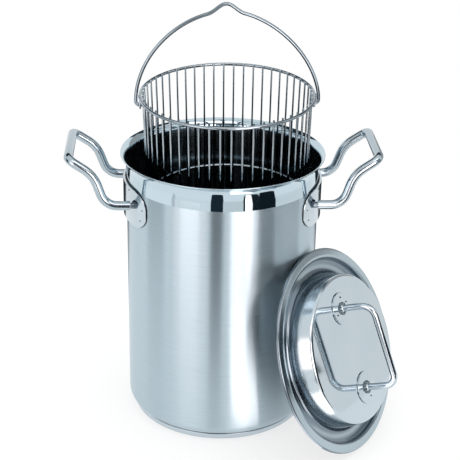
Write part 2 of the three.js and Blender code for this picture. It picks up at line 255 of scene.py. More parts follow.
# Each panel: its distance, degrees round from the camera towards +X, heights, foot, and brightness.
PANELS = {
    "back_floor": (0.72, 138, 222, 0.0, 0.0, 0.37, 0.03),
    "back_shade": (0.40, 142, 218, 0.0, 0.0, 0.27, 0.03),
    "back_flag": (0.96, 112, 256, 0.80, 1.90, 0.0, 0.05),
    "brow_flag": (0.94, -30, 72, 0.42, 0.78, 0.0, 0.05),
    "top_softbox": (0.62, -20, 60, 0.74, 1.25, 0.0, 2.8),
    "streak_card": (0.28, 9.5, 36.5, 0.0, 0.0, 0.17, 2.9),
    "camera_gap": (0.52, -12.3, 1.6, -0.2, 0.30, 0.22, 0.04),
    "front_card": (0.52, 1, 24, -0.2, 0.12, 0.0, 0.85),
    "key_frame": (0.52, 23, 42, -0.2, 0.12, 0.15, 0.02),
    "key_edge": (0.52, 25, 33, -0.2, 0.12, 0.14, 2.4),
    "key_softbox": (0.52, 10, 38, 0.12, 0.42, 0.0, 4.4),
    "right_gap": (0.52, 41, 61, -0.2, 0.16, 0.20, 0.02),
    "right_card": (0.52, 61, 125, -0.2, 0.16, 0.0, 0.95),
    "right_post": (0.52, 58, 94, 0.05, 0.24, 0.0, 0.05),
    "right_flag": (0.52, 96, 150, 0.16, 0.6, 0.0, 0.45),
    "fill_softbox": (0.52, -53, -16, 0.05, 0.42, 0.0, 1.6),
    "fill_core": (0.52, -45, -24, 0.05, 0.42, 0.0, 2.6),
    "fill_card": (0.52, -57, -13, -0.2, 0.05, 0.0, 1.0),
    "left_bar": (0.52, -57, -53, -0.2, 0.10, 0.06, 0.75),
    "left_flag": (0.52, -88, -64, 0.09, 0.36, 0.0, 0.10),
    "left_card": (0.52, -104, -57, -0.2, 0.09, 0.0, 1.1),
}
PANEL_SPACING = 0.0015
FOOT_ROUND = 4
FOOT_LIFT = 0.0003
DARK_LEVEL = 0.2
DARK_TINT = (0.40, 0.72, 1.0, 1)
BRIGHT_LEVEL = 1.2
BRIGHT_TINT = (1.0, 0.88, 0.85, 1)


def panel_light(name, level):
    material, nodes = new_material(name)
    colour = WHITE
    if level < DARK_LEVEL:
        colour = DARK_TINT
    elif level > BRIGHT_LEVEL:
        colour = BRIGHT_TINT
    glow = nodes.add("ShaderNodeEmission", inputs={"Color": colour, "Strength": level})
    surface(nodes, glow)
    return material


def panel(name, order, reach, start, end, low, high, foot, level):
    """An upright panel round the set, with a rounded foot that reaches in over the floor."""
    first = CAMERA_SIDE + math.radians(start)
    last = CAMERA_SIDE + math.radians(end)
    steps = max(2, round((last - first) / PANEL_STEP))
    far = reach - order * PANEL_SPACING
    lift = FOOT_LIFT * (order + 1)
    points = []
    for i in range(steps + 1):
        angle = first + (last - first) * i / steps
        across = 2 * i / steps - 1
        near = far - foot * (1 - abs(across) ** FOOT_ROUND) ** (1 / FOOT_ROUND)
        way = Vector((math.cos(angle), math.sin(angle), 0))
        up = Vector((0, 0, 1))
        points += [way * far + up * low, way * far + up * high]
        points += [way * near + up * lift, way * far + up * lift]
    strips = ([(0, 1)] if high > low else []) + ([(2, 3)] if foot else [])
    faces = [(4 * i + a, 4 * i + b, 4 * i + 4 + b, 4 * i + 4 + a) for i in range(steps) for a, b in strips]
    made = link_mesh(name, points, faces, panel_light(name, level))
    made.visible_camera = False
    made.visible_diffuse = False
    made.visible_shadow = False
    made.visible_transmission = False
    made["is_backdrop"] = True


for panel_order, (panel_name, sizes) in enumerate(PANELS.items()):
    panel(panel_name, panel_order, *sizes)
print("studio:", len(PANELS), "panels")

# %% [markdown]
# ## The lamp
#
# One wide lamp hangs overhead and draws the soft shadow. It is left out of reflections, where a square
# patch of light would show at once in the polished pieces.

# %% Lamp
LAMP_PLACE = Vector((0.0, -0.1, 1.5))
LAMP_SIZE = 1.4
LAMP_POWER = 9.0


def overhead_lamp():
    data = bpy.data.lights.new("overhead", "AREA")
    data.size = LAMP_SIZE
    data.energy = LAMP_POWER
    made = bpy.data.objects.new("overhead", data)
    scene.collection.objects.link(made)
    made.location = LAMP_PLACE
    made.visible_glossy = False


overhead_lamp()
print("lamp:", LAMP_SIZE, "m wide, at", LAMP_PLACE.z, "m")

# %% [markdown]
# ## Steel
#
# One alloy in several finishes. The body is brushed round and round, so light smears up and down and stays
# sharp sideways: that is anisotropy turned a quarter. The rim band, the handles and the lid are mirror
# polished, and the wire is bright drawn. The inside is painted dark as shade, with streaks of painted
# reflection on its far side. Every finish varies a little over the surface, because no mop or brush treats
# a whole pot alike. Brush marks are far finer than a pixel here, so they are noise in colour and
# roughness, and no bump is needed.

# %% Steel colours
STEEL = (0.53, 0.645, 0.71, 1)
STEEL_BRUSHED = (0.47, 0.58, 0.645, 1)
POLISH = (0.57, 0.65, 0.70, 1)
POLISH_DARK = (0.52, 0.60, 0.65, 1)
# Dull smudge tone, also the painted shade on the lid's trough and lip.
DULL_TONE_AND_SHADE = (0.20, 0.25, 0.29, 1)
DRAWN = (0.62, 0.70, 0.75, 1)
DRAWN_DARK = (0.30, 0.36, 0.40, 1)
ROLLED = (0.48, 0.56, 0.61, 1)
ROLLED_DARK = (0.20, 0.25, 0.29, 1)
BENT = (0.47, 0.55, 0.60, 1)
BENT_DARK = (0.38, 0.46, 0.51, 1)
# Weld scale, darkened further as painted shade on the studs and beads.
SCALE_AND_SHADE_LIGHT = (0.26, 0.33, 0.38, 1)
SCALE_AND_SHADE_DARK = (0.08, 0.10, 0.12, 1)
# Painted reflection streaks and painted shade for the inside of the pot.
INSIDE_REFLECTION_PAINT = (0.64, 0.80, 0.90, 1)
INSIDE_SHADE_PAINT = (0.07, 0.09, 0.10, 1)
# Painted shade for the lid's underside, darker in the folds under its edge.
UNDER_SHADE_LIGHT = (0.25, 0.30, 0.33, 1)
UNDER_SHADE_DARK = (0.10, 0.12, 0.13, 1)
CORE_LIGHT = (0.75, 0.76, 0.77, 1)
CORE_DARK = (0.55, 0.56, 0.57, 1)
# Painted shade for the gap where a plate meets the wall; the spot welds use this dark colour too.
SEAM_SHADE_LIGHT = (0.05, 0.056, 0.064, 1)
SEAM_SHADE_DARK = (0.012, 0.014, 0.017, 1)

# %% Polished steel
SMUDGE, SMUDGE_DETAIL = 35.0, 3.0


def steel_shader(nodes, colour, roughness, settings=None):
    inputs = {"Base Color": colour, "Roughness": roughness, "Metallic": 1.0}
    inputs.update(settings or {})
    return nodes.add("ShaderNodeBsdfPrincipled", inputs=inputs)


def polished_steel(name, smooth=0.05, streak=0.04, dark=POLISH_DARK, light=POLISH):
    """Mirror polish with faint smudges."""
    material, nodes = new_material(name)
    smudge = nodes.noise(SMUDGE, SMUDGE_DETAIL)
    colour = nodes.blend(smudge, dark, light)
    surface(nodes, steel_shader(nodes, colour, smudge * streak + smooth))
    return material


# %% Brushed steel, and the inside's painted shade and reflection
BAND_LOW, BAND_SOFT = 211.7, 0.2
BAND_ROUGH = 0.05
BRUSH_FINE, BRUSH_BROAD = (3.0, 1500.0), (2.0, 240.0)
BRUSH_FINE_SHARE = 0.85
BRUSH_LOW, BRUSH_HIGH = 0.2, 0.8
BRUSH_ROUGH, BRUSH_VARIES = 0.27, 0.06
QUARTER_TURN = 0.25
# Noise for the inside: the fine noise also varies its roughness, and both make the painted reflection
# streaks.
DRAW_FINE, STREAK_BROAD = (60.0, 8.0), (9.0, 2.0)
STREAK_FINE_SHARE = 0.5
STREAK_LOW, STREAK_HIGH = 0.42, 0.62
REFLECTION_NEAR, REFLECTION_FAR = 0.055, 0.078
DRAW_ROUGH, DRAW_VARIES = 0.2, 0.1


def wall_place(nodes):
    """The angle round the axis, the depth and the height of a point on a round wall."""
    place = nodes.add("ShaderNodeTexCoord", output="Object")
    x = nodes.add("ShaderNodeSeparateXYZ", inputs={"Vector": place})
    y, z = x.also("Y"), x.also("Z")
    return x.math("ARCTAN2", y, x), y, z


def wall_noise(nodes, turn, height, steps):
    """Noise that is stretched along a round wall, by its steps round and up."""
    around, up = steps
    place = nodes.add("ShaderNodeCombineXYZ", inputs={"X": turn * around, "Y": height * up})
    return nodes.add("ShaderNodeTexNoise", inputs={"Vector": place, "Scale": 1.0, "Detail": 2.0})


def satin_steel():
    """Brushed round the wall, and polished above the band's lower edge."""
    material, nodes = new_material("satin steel")
    turn, _, height = wall_place(nodes)
    fine = wall_noise(nodes, turn, height, BRUSH_FINE)
    broad = wall_noise(nodes, turn, height, BRUSH_BROAD)
    grain = (fine * BRUSH_FINE_SHARE + broad * (1 - BRUSH_FINE_SHARE)).ramp(BRUSH_LOW, BRUSH_HIGH)
    polish = height.ramp((BAND_LOW - BAND_SOFT) * MM, (BAND_LOW + BAND_SOFT) * MM)
    rough = (grain * BRUSH_VARIES + BRUSH_ROUGH) * (1.0 - polish) + polish * BAND_ROUGH
    colour = nodes.blend(grain * (1.0 - polish) + polish, STEEL_BRUSHED, STEEL)
    settings = {"Anisotropic": 1.0, "Anisotropic Rotation": QUARTER_TURN}
    surface(nodes, steel_shader(nodes, colour, rough, settings))
    return material


def inside_shade_and_reflection():
    """Inside the pot: painted shade, with broad and fine upright streaks of painted reflection on the far
    side.
    """
    material, nodes = new_material("inside painted shade and reflection")
    turn, depth, height = wall_place(nodes)
    fine = wall_noise(nodes, turn, height, DRAW_FINE)
    broad = wall_noise(nodes, turn, height, STREAK_BROAD)
    streak_pattern = (fine * STREAK_FINE_SHARE + broad * (1 - STREAK_FINE_SHARE)).ramp(STREAK_LOW, STREAK_HIGH)
    # The painted reflection streaks show only on the far side; elsewhere the inside is painted shade.
    painted_reflection = streak_pattern * depth.ramp(REFLECTION_NEAR, REFLECTION_FAR)
    colour = nodes.blend(painted_reflection, INSIDE_SHADE_PAINT, INSIDE_REFLECTION_PAINT)
    surface(nodes, steel_shader(nodes, colour, fine * DRAW_VARIES + DRAW_ROUGH))
    return material


# %% Core, and the seam's painted shade
CORE_MOTTLE, SEAM_SHADE_MOTTLE = 220.0, 300.0
DULL_ROUGH, DULL_VARIES = 0.35, 0.2


def core_aluminium():
    """Bare cut aluminium, which shows only as a thin line above the base cap."""
    material, nodes = new_material("core aluminium")
    mottle = nodes.noise(CORE_MOTTLE)
    colour = nodes.blend(mottle, CORE_DARK, CORE_LIGHT)
    surface(nodes, steel_shader(nodes, colour, mottle * DULL_VARIES + DULL_ROUGH))
    return material


def seam_shade_steel():
    """Painted shade for the gap where a plate meets the wall; the spot welds take this dark colour too."""
    material, nodes = new_material("seam painted shade and spot welds")
    shade_mottle = nodes.noise(SEAM_SHADE_MOTTLE)
    colour = nodes.blend(shade_mottle, SEAM_SHADE_DARK, SEAM_SHADE_LIGHT)
    surface(nodes, steel_shader(nodes, colour, shade_mottle * DULL_VARIES + DULL_ROUGH))
    return material


# %% [markdown]
# ## The lid's two sides
#
# The lid is one sheet. The drum is bright and the flange a plain darker tone. The trough and the lip are
# darkened with painted shade, and the underside is painted as shade too, darkest in the folds under the
# edge. The sheet stores how far each point lies from the lid's axis, and the finish and the painted shade
# follow that distance.

# %% Lid finishes and painted shade
DRUM_TOP, DRUM_FOOT = 61.8, 66.0
TROUGH_INNER, TROUGH_MIDDLE, TROUGH_OUTER, PLUG_EDGE = 68.0, 71.0, 74.5, 77.5
FLANGE_INNER, LIP_INNER = 79.0, 84.6
TOP_SOFT, FOOT_SOFT, LIP_SOFT = 1.5, 1.0, 0.6
FLANGE_STEEL = (0.43, 0.52, 0.57, 1)
# Painted shade for the trough.
TROUGH_SHADE = (0.34, 0.41, 0.45, 1)
DRUM_ROUGH, DRUM_VARIES, EDGE_ROUGH = 0.04, 0.04, 0.10
UNDER_ROUGH, UNDER_VARIES = 0.18, 0.15
FOLD_SHADE_SHARE = 0.9


def lid_reach(nodes):
    """How far a point lies from the lid's axis."""
    return nodes.add("ShaderNodeAttribute", {"attribute_name": "reach"}, output="Fac")


def shaded_pressed_steel():
    """The lid's upper side: a polished drum, and painted shade in the trough and at the lip."""
    material, nodes = new_material("pressed steel with painted shade")
    smudge = nodes.noise(SMUDGE, SMUDGE_DETAIL)
    reach = lid_reach(nodes)

    def past(low, high):
        return reach.ramp(low * MM, high * MM)

    # Rings of painted shade on the trough's walls and at the lip.
    inner = past(DRUM_FOOT - FOOT_SOFT, DRUM_FOOT) - past(TROUGH_INNER, TROUGH_MIDDLE)
    outer = past(TROUGH_MIDDLE, TROUGH_OUTER) - past(PLUG_EDGE, FLANGE_INNER)
    shade_rings = inner + outer + past(LIP_INNER, LIP_INNER + LIP_SOFT)
    colour = nodes.blend(smudge, POLISH_DARK, POLISH)
    colour = nodes.blend(past(DRUM_FOOT, TROUGH_INNER), colour, TROUGH_SHADE)
    colour = nodes.blend(past(PLUG_EDGE, FLANGE_INNER), colour, FLANGE_STEEL)
    colour = nodes.blend(shade_rings, colour, DULL_TONE_AND_SHADE)
    rough = smudge * DRUM_VARIES + past(DRUM_TOP - TOP_SOFT, DRUM_TOP) * EDGE_ROUGH + DRUM_ROUGH
    surface(nodes, steel_shader(nodes, colour, rough))
    return material


def shaded_under_steel():
    """The lid's underside in painted shade, darker still in the folds near its edge."""
    material, nodes = new_material("lid underside painted shade")
    smudge = nodes.noise(SMUDGE, SMUDGE_DETAIL)
    # Painted shade, darkest in the folds beyond the drum's edge.
    fold_shade = lid_reach(nodes).ramp(DRUM_TOP * MM, DRUM_FOOT * MM)
    colour = nodes.blend(fold_shade * FOLD_SHADE_SHARE + smudge * (1 - FOLD_SHADE_SHARE), UNDER_SHADE_LIGHT, UNDER_SHADE_DARK)
    surface(nodes, steel_shader(nodes, colour, smudge * UNDER_VARIES + UNDER_ROUGH))
    return material


# %% All finishes
SATIN = satin_steel()
PRESSED_SHADED = shaded_pressed_steel()
INSIDE_SHADE_AND_REFLECTION = inside_shade_and_reflection()
UNDER_SHADED = shaded_under_steel()
POLISHED = polished_steel("polished steel")
HANDLE = polished_steel("handle steel", smooth=0.10, streak=0.06, dark=BENT_DARK, light=BENT)
PLATE = polished_steel("plate steel", smooth=0.10, streak=0.08)
BAIL = polished_steel("bail wire steel", smooth=0.06, streak=0.04, dark=DULL_TONE_AND_SHADE, light=BENT_DARK)
WIRE = polished_steel("drawn wire steel", smooth=0.06, streak=0.04, dark=DRAWN_DARK, light=DRAWN)
HOOP = polished_steel("hoop wire steel", smooth=0.06, streak=0.04, dark=ROLLED_DARK, light=ROLLED)
WELD_SCALE_AND_SHADE = polished_steel("weld scale and shade steel", smooth=0.2, streak=0.2, dark=SCALE_AND_SHADE_DARK, light=SCALE_AND_SHADE_LIGHT)
CORE = core_aluminium()
SEAM_SHADE_AND_SPOTS = seam_shade_steel()
print("finishes:", len(bpy.data.materials), "materials with the studio's")

# %% [markdown]
# ## Turned sheet
#
# The pot, its base and the lid were drawn from flat sheet and are round, so each is an outline turned
# about an axis. A Screw modifier could turn it too, but in code each point can also keep its distance from
# the axis, which the lid's finish and its painted shade read. An outline is a few corners with bend radii.
# Extra points beside each bend keep the shading of the long straight walls flat.

# %% Turned pieces
TURN_STEPS = 192
BEND_STEPS = 10
SUPPORT = 0.6
LONG_STRETCH = 4 * SUPPORT
JOIN_DISTANCE = 1e-7
SHARP_ANGLE = math.radians(40)


def rounded(corners, radii, steps=BEND_STEPS):
    """A line of flat points, with each inner corner bent to its radius."""
    points = [Vector(corner) for corner in corners]
    line = [points[0]]
    for i in range(1, len(points) - 1):
        back = (points[i - 1] - points[i]).normalized()
        ahead = (points[i + 1] - points[i]).normalized()
        half = back.angle(ahead) / 2
        centre = points[i] + (back + ahead).normalized() * (radii[i - 1] / math.sin(half))
        start = points[i] + back * (radii[i - 1] / math.tan(half)) - centre
        end = points[i] + ahead * (radii[i - 1] / math.tan(half)) - centre
        sweep = start.angle(end)
        for k in range(steps + 1):
            near = math.sin(sweep * (1 - k / steps)) / math.sin(sweep)
            far = math.sin(sweep * k / steps) / math.sin(sweep)
            line.append(centre + start * near + end * far)
    line.append(points[-1])
    return line


def beside(line, distance):
    """The flat line moved sideways, to the right of its direction."""
    moved = []
    for i, point in enumerate(line):
        first = (point - line[i - 1]) if i else (line[1] - point)
        second = (line[i + 1] - point) if i < len(line) - 1 else first
        first, second = first.normalized(), second.normalized()
        along = (first + second).normalized()
        mitre = distance / along.dot(second)
        moved.append(point + Vector((along.y, -along.x)) * mitre)
    return moved


def supported(line):
    """Points added close to both ends of each long straight stretch."""
    full = [line[0]]
    for a, b in zip(line, line[1:]):
        length = (b - a).length
        if length > LONG_STRETCH:
            full += [a.lerp(b, SUPPORT / length), a.lerp(b, 1 - SUPPORT / length)]
        full.append(b)
    return full


def finish_mesh(made):
    """Joined points, faces that point outwards, and smooth shading up to an angle."""
    shape = bmesh.new()
    shape.from_mesh(made.data)
    bmesh.ops.remove_doubles(shape, verts=shape.verts, dist=JOIN_DISTANCE)
    bmesh.ops.recalc_face_normals(shape, faces=shape.faces)
    shape.to_mesh(made.data)
    shape.free()
    made.data.shade_smooth()
    made.data.set_sharp_from_angle(angle=SHARP_ANGLE)
    return made


def turned(name, outline, material, place=Matrix.Identity(4), steps=TURN_STEPS):
    """A closed outline of radius and height, in millimetres, turned about its axis."""
    line = supported(outline)
    points = []
    for point in line:
        for k in range(steps):
            angle = 2 * math.pi * k / steps
            radius = max(point.x, 0) * MM
            points.append((radius * math.cos(angle), radius * math.sin(angle), point.y * MM))
    faces = []
    for i in range(len(line) - 1):
        for k in range(steps):
            after = (k + 1) % steps
            faces.append((i * steps + k, i * steps + after, (i + 1) * steps + after, (i + 1) * steps + k))
    made = link_mesh(name, points, faces, material)
    reach = made.data.attributes.new("reach", "FLOAT", "POINT")
    reach.data.foreach_set("value", [max(point.x, 0) * MM for point in line for k in range(steps)])
    finish_mesh(made)
    made.data.transform(place)
    return made


def paint(made, material, chosen):
    """A second material on the faces that the test picks."""
    made.data.materials.append(material)
    for face in made.data.polygons:
        if chosen(face):
            face.material_index = 1


def dress(piece, body, slot, *nodes):
    """The piece rides on its body and stands for its nodes."""
    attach(piece, body)
    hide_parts(*nodes)
    print(piece.name, len(piece.data.polygons), "faces, for", len(nodes), "nodes")


def refinish(node, material):
    """A frame piece whose shape is right only gets a better finish."""
    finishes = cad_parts[node].data.materials
    finishes.clear()
    finishes.append(material)


# %% [markdown]
# ## The pot
#
# The shell is one deep drawn sheet with a rounded bottom corner and a flared rim that pours without
# dripping. Its edge is rolled round, which gives the thin bright line on the lip. A polished cap closes
# the base round a thick aluminium core.

# %% Pot shell and base
BODY_RADIUS = 80.0
POT_WALL = 0.8
POT_HEIGHT = 232.0
FLARE_REACH = 4.7
FLARE_HEIGHT = 6.0
FLARE_STEPS = 14
LEAN_HEIGHT = 8.0
LEAN_ANGLE = math.radians(8)
LEAN_STEPS = 8
BOTTOM_CORNER = 9.0
BASE_RADIUS = 75.0
BASE_HEIGHT = 5.0
BASE_SHEET = 0.6
BASE_CORNER = 1.6
WELD_GAP = 0.3
FACES_UP = 0.5


def sheet_outline(line, thickness):
    """A sheet with a round edge: the line is its outer face, from the axis to the edge."""
    inner = beside(line, -thickness)
    edge, end = line[-1], inner[-1]
    centre = (edge + end) / 2
    half = (end - edge) / 2
    ahead = (line[-1] - line[-2]).normalized() * (thickness / 2)
    roll = []
    for k in range(1, BEND_STEPS):
        angle = math.pi * k / BEND_STEPS
        roll.append(centre - half * math.cos(angle) + ahead * math.sin(angle))
    inner[0].x = 0
    return line + roll + inner[::-1]


def pot_line():
    """The wall leans out slowly at first, then turns into the flare in one tight arc."""
    start = POT_HEIGHT - FLARE_HEIGHT - LEAN_HEIGHT
    line = rounded([(0, BASE_HEIGHT), (BODY_RADIUS, BASE_HEIGHT), (BODY_RADIUS, start)], [BOTTOM_CORNER])
    for k in range(1, LEAN_STEPS + 1):
        part = LEAN_ANGLE * k / LEAN_STEPS
        out = LEAN_HEIGHT / math.sin(LEAN_ANGLE)
        line.append(Vector((BODY_RADIUS + out * (1 - math.cos(part)), start + out * math.sin(part))))
    foot = line[-1].copy()
    rise, run = POT_HEIGHT - foot.y, BODY_RADIUS + FLARE_REACH - foot.x
    chord = math.atan2(run, rise) - LEAN_ANGLE
    radius = math.hypot(rise, run) / (2 * math.sin(chord))
    for k in range(1, FLARE_STEPS + 1):
        turn = LEAN_ANGLE + 2 * chord * k / FLARE_STEPS
        out = math.cos(LEAN_ANGLE) - math.cos(turn)
        up = math.sin(turn) - math.sin(LEAN_ANGLE)
        line.append(foot + Vector((out, up)) * radius)
    return line


def faces_in(face):
    """Whether a face of the shell is on its inside, below the flare."""
    inward = face.center.x * face.normal.x + face.center.y * face.normal.y < 0
    floor = face.normal.z > FACES_UP
    return (inward or floor) and face.center.z < (POT_HEIGHT - FLARE_HEIGHT) * MM


shell = turned("pot_shell_turned", sheet_outline(pot_line(), POT_WALL), SATIN)
# The inside gets painted shade, with painted reflection streaks on its far side.
paint(shell, INSIDE_SHADE_AND_REFLECTION, faces_in)
dress(shell, "pot", "satin_steel", "pot_shell")
cap_line = rounded([(0, 0), (BASE_RADIUS, 0), (BASE_RADIUS, BASE_HEIGHT - WELD_GAP)], [BASE_CORNER])
cap = turned("base_cap_turned", sheet_outline(cap_line, BASE_SHEET), POLISHED)
dress(cap, "pot", "polished_steel", "base_cap")
refinish("base_core", CORE)

# %% [markdown]
# ## Rod and wire
#
# Handles, bail and basket are all round stock bent along a path. A curve with a bevel could make each one,
# but one Geometry Nodes tree serves them all. It reads a path of corners with a bend radius stored on
# each, rounds the corners, sweeps a circle, and copies the rod about the axis where many are alike.

# %% The rod tree
RING_STEPS = 96
HANDLE_SIDES, HOOP_SIDES, WIRE_SIDES = 32, 16, 12
ROD_BEND_STEPS, WIRE_BEND_STEPS = 12, 8


def new_tree(name, sockets):
    tree = bpy.data.node_groups.new(name, "GeometryNodeTree")
    for label, kind in sockets.items():
        tree.interface.new_socket(label, in_out="INPUT", socket_type=kind)
    tree.interface.new_socket("Geometry", in_out="OUTPUT", socket_type="NodeSocketGeometry")
    return tree


def swept(nodes, source):
    """Nodes that turn the path in the group's input into a solid rod."""
    path = nodes.add("GeometryNodeMeshToCurve", inputs={"Mesh": source.also("Path")})
    bend = nodes.add("GeometryNodeInputNamedAttribute", {"data_type": "FLOAT"}, {"Name": "bend"})
    inputs = {"Curve": path, "Radius": bend, "Limit Radius": True, "Count": source.also("Bend Steps")}
    smooth = nodes.add("GeometryNodeFilletCurve", {"mode": "POLY"}, inputs)
    size = {"Resolution": source.also("Sides"), "Radius": source.also("Radius")}
    circle = nodes.add("GeometryNodeCurvePrimitiveCircle", inputs=size)
    inputs = {"Curve": smooth, "Profile Curve": circle, "Fill Caps": True}
    return nodes.add("GeometryNodeCurveToMesh", inputs=inputs)


def end_tree(nodes, source, copies):
    """The last nodes of a tree: copies made real, with the material from the group's input."""
    real = nodes.add("GeometryNodeRealizeInstances", inputs={"Geometry": copies})
    inputs = {"Geometry": real, "Material": source.also("Material")}
    painted = nodes.add("GeometryNodeSetMaterial", inputs=inputs)
    nodes.add("NodeGroupOutput", inputs={"Geometry": painted})


def rod_tree():
    """Copies of one rod, spread evenly about the Z axis."""
    sockets = {
        "Path": "NodeSocketGeometry",
        "Radius": "NodeSocketFloat",
        "Sides": "NodeSocketInt",
        "Bend Steps": "NodeSocketInt",
        "Copies": "NodeSocketInt",
        "Material": "NodeSocketMaterial",
    }
    tree = new_tree("bent rod", sockets)
    nodes = Nodes(tree)
    source = nodes.add("NodeGroupInput")
    rod = swept(nodes, source)
    spots = nodes.add("GeometryNodePoints", inputs={"Count": source.also("Copies")})
    index = nodes.add("GeometryNodeInputIndex")
    share = index.math("DIVIDE", index, source.also("Copies"))
    turn = nodes.add("ShaderNodeCombineXYZ", inputs={"Z": share * (2 * math.pi)})
    rotation = nodes.add("FunctionNodeEulerToRotation", inputs={"Euler": turn})
    inputs = {"Points": spots, "Instance": rod, "Rotation": rotation}
    copies = nodes.add("GeometryNodeInstanceOnPoints", inputs=inputs)
    end_tree(nodes, source, copies)
    return tree


def grown(name, source, tree, settings):
    """Runs a tree on an object and keeps the result as a plain mesh."""
    modifier = source.modifiers.new("grow", "NODES")
    modifier.node_group = tree
    labels = {item.name: item.identifier for item in tree.interface.items_tree if item.in_out == "INPUT"}
    for label, value in settings.items():
        modifier[labels[label]] = value
    ready = source.evaluated_get(bpy.context.evaluated_depsgraph_get())
    mesh = bpy.data.meshes.new_from_object(ready)
    mesh.name = name
    bpy.data.objects.remove(source)
    made = bpy.data.objects.new(name, mesh)
    scene.collection.objects.link(made)
    return made


def path_object(points, bends, closed=False):
    """A chain of edges with a bend radius on each point, in millimetres."""
    mesh = bpy.data.meshes.new("path")
    edges = [(i, i + 1) for i in range(len(points) - 1)]
    if closed:
        edges.append((len(points) - 1, 0))
    mesh.from_pydata([Vector(p) * MM for p in points], edges, [])
    radii = mesh.attributes.new("bend", "FLOAT", "POINT")
    radii.data.foreach_set("value", [bend * MM for bend in bends])
    made = bpy.data.objects.new("path", mesh)
    scene.collection.objects.link(made)
    return made


ROD_TREE = rod_tree()
print("rod tree:", len(ROD_TREE.nodes), "nodes")


def rod(name, points, bends, diameter, material, sides, copies=1, steps=ROD_BEND_STEPS, closed=False):
    """One rod along a path, or copies of it round the axis. Sizes are in millimetres."""
    settings = {
        "Radius": diameter / 2 * MM,
        "Sides": sides,
        "Bend Steps": steps,
        "Copies": copies,
        "Material": material,
    }
    made = grown(name, path_object(points, bends, closed), ROD_TREE, settings)
    return finish_mesh(made)


# %% [markdown]
# ## Side handles
#
# Each handle is one rod: two level feet, two legs that rise and lean out, and a crossbar. It is welded
# through short studs to a curved plate that lies against the wall. Half of the path is listed, and the
# other half is its mirror image, so both legs always match.

# %% Handles
SIDES = {"right": 1, "left": -1}
HANDLE_ROD = 7.6
FOOT_HEIGHT = 198.9
FOOT_SPREAD = 35.7
GRIP_SPREAD = 33.3
KNEE_REACH = 96.7
SHOULDER_REACH, SHOULDER_RISE = 105.8, 26.0
GRIP_REACH, GRIP_RISE = 125.5, 39.2
KNEE_BEND, SHOULDER_BEND, GRIP_BEND = 14.0, 26.0, 6.5
STUD_LENGTH = 2.4
PLATE_HALF_WIDTH = 49.8
PLATE_HEIGHT = 31.0
PLATE_CORNER = 13.0
PLATE_PROUD = 2.8
PLATE_CURVE = 75.0
PLATE_DROP = 2.4


def plate_face(side):
    return BODY_RADIUS + PLATE_PROUD - PLATE_CURVE + math.sqrt(PLATE_CURVE**2 - side**2)


FOOT_REACH = plate_face(FOOT_SPREAD) + STUD_LENGTH + WELD_GAP


def handle(name, side):
    share = SHOULDER_RISE / GRIP_RISE
    shoulder_spread = FOOT_SPREAD + (GRIP_SPREAD - FOOT_SPREAD) * share
    half = [
        (FOOT_REACH, FOOT_SPREAD, 0),
        (KNEE_REACH, FOOT_SPREAD, 0),
        (SHOULDER_REACH, shoulder_spread, SHOULDER_RISE),
        (GRIP_REACH, GRIP_SPREAD, GRIP_RISE),
    ]
    front = [(side * x, -y, FOOT_HEIGHT + z) for x, y, z in half]
    rear = [(side * x, y, FOOT_HEIGHT + z) for x, y, z in half]
    bends = [0, KNEE_BEND, SHOULDER_BEND, GRIP_BEND]
    path = front + rear[::-1]
    made = rod(name + "_handle_rod", path, bends + bends[::-1], HANDLE_ROD, HANDLE, HANDLE_SIDES)
    dress(made, "pot", "polished_steel", name + "_handle")


for side_name, side_sign in SIDES.items():
    handle(side_name, side_sign)

# %% [markdown]
# ## Handle plates
#
# Each plate is cut from sheet, bent a little tighter than the wall and welded on along its edge. Cutting
# it from a cylinder with a Boolean would leave long thin faces that shade badly, so it is a grid of
# columns, spaced more closely at the rounded ends. A thin dark strip at its foot is painted shade for the
# gap where it meets the wall.

# %% Handle plates
PLATE_COLUMNS = 72
PLATE_ROWS = 14
PLATE_EDGE = 0.4
SEAM_WIDTH = 0.9
SEAM_SHARE = 0.6
PLATE_EDGE_STEPS = 3


def plate_half_height(side):
    over = abs(side) - (PLATE_HALF_WIDTH - PLATE_CORNER)
    if over <= 0:
        return PLATE_HEIGHT / 2
    return PLATE_HEIGHT / 2 - PLATE_CORNER + math.sqrt(max(PLATE_CORNER**2 - over**2, 0))


def plate_points(sign):
    """A grid of columns on the plate's outer face, then the same on its back."""
    middle = FOOT_HEIGHT - PLATE_DROP
    points = []
    for back in (False, True):
        for i in range(PLATE_COLUMNS + 1):
            side = PLATE_HALF_WIDTH * math.sin(math.pi * (i / PLATE_COLUMNS - 0.5))
            reach = math.sqrt((BODY_RADIUS + WELD_GAP) ** 2 - side**2) if back else plate_face(side)
            tall = plate_half_height(side)
            for k in range(PLATE_ROWS + 1):
                height = middle + tall * (2 * k / PLATE_ROWS - 1)
                points.append((sign * reach * MM, side * MM, height * MM))
    return points


def plate_faces(rows, layer):
    """The faces of both grids."""
    faces = []
    for base in (0, layer):
        for i in range(PLATE_COLUMNS):
            for k in range(PLATE_ROWS):
                a = base + i * rows + k
                faces.append((a, a + rows, a + rows + 1, a + 1))
    return faces


def plate_rim(rows):
    """The points on the edge of a grid, once round."""
    around = [i * rows for i in range(PLATE_COLUMNS + 1)]
    around += [PLATE_COLUMNS * rows + k for k in range(1, rows)]
    around += [i * rows + PLATE_ROWS for i in range(PLATE_COLUMNS - 1, -1, -1)]
    return around + list(range(PLATE_ROWS - 1, 0, -1))


